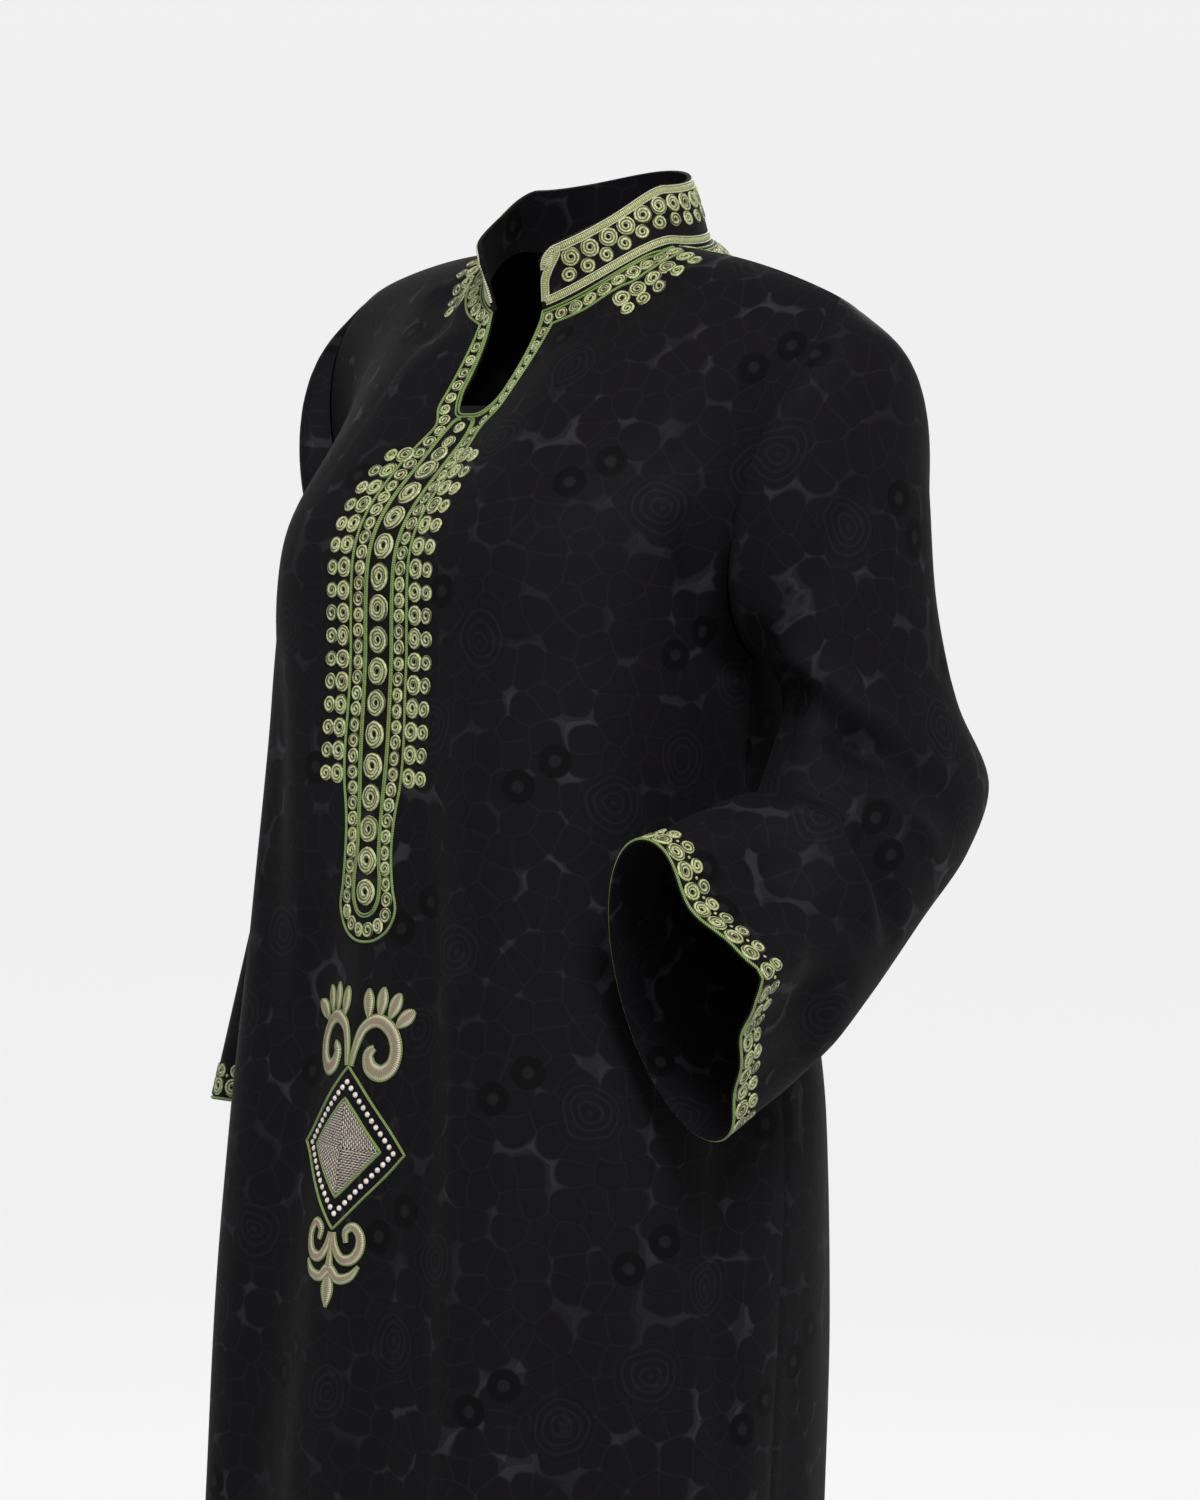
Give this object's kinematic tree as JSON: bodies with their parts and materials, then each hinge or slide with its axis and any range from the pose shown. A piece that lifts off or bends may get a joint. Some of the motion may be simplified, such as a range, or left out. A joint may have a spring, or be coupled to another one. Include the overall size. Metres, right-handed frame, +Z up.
{
  "type": "kaftan",
  "caption": "Full-length stand-collar kaftan with bell sleeves and raised cord embroidery, filled out as worn.",
  "frame": {"origin": "midway between the neck ends of the two shoulder seams, where the garment hangs on its wearer's shoulders", "axes": "+Z up towards the collar, -Y is the front, +X is the wearer's left"},
  "size_m": [0.6747, 0.3926, 1.4615],
  "materials": {
    "front": "tone-on-tone jacquard with a soft sheen",
    "back": "tone-on-tone jacquard with a soft sheen",
    "sleeve_left": "tone-on-tone jacquard with a soft sheen",
    "sleeve_right": "tone-on-tone jacquard with a soft sheen",
    "collar": "stiffened jacquard",
    "collar_braid": "couched cord embroidery",
    "neck_braid_left": "couched cord embroidery",
    "neck_braid_right": "couched cord embroidery",
    "neck_braid_back": "couched cord embroidery",
    "bib_braid": "couched cord embroidery",
    "motif_braid": "couched cord and satin-stitch embroidery",
    "cuff_braid_left": "couched cord embroidery",
    "cuff_braid_right": "couched cord embroidery"
  },
  "bodies": {
    "root": {"front": "front", "back": "back", "sleeve_left": "sleeve_left", "sleeve_right": "sleeve_right", "collar": "collar", "collar_braid": "collar_braid", "neck_braid_left": "neck_braid_left", "neck_braid_right": "neck_braid_right", "neck_braid_back": "neck_braid_back", "bib_braid": "bib_braid", "motif_braid": "motif_braid", "cuff_braid_left": "cuff_braid_left", "cuff_braid_right": "cuff_braid_right"}
  },
  "joints": []
}
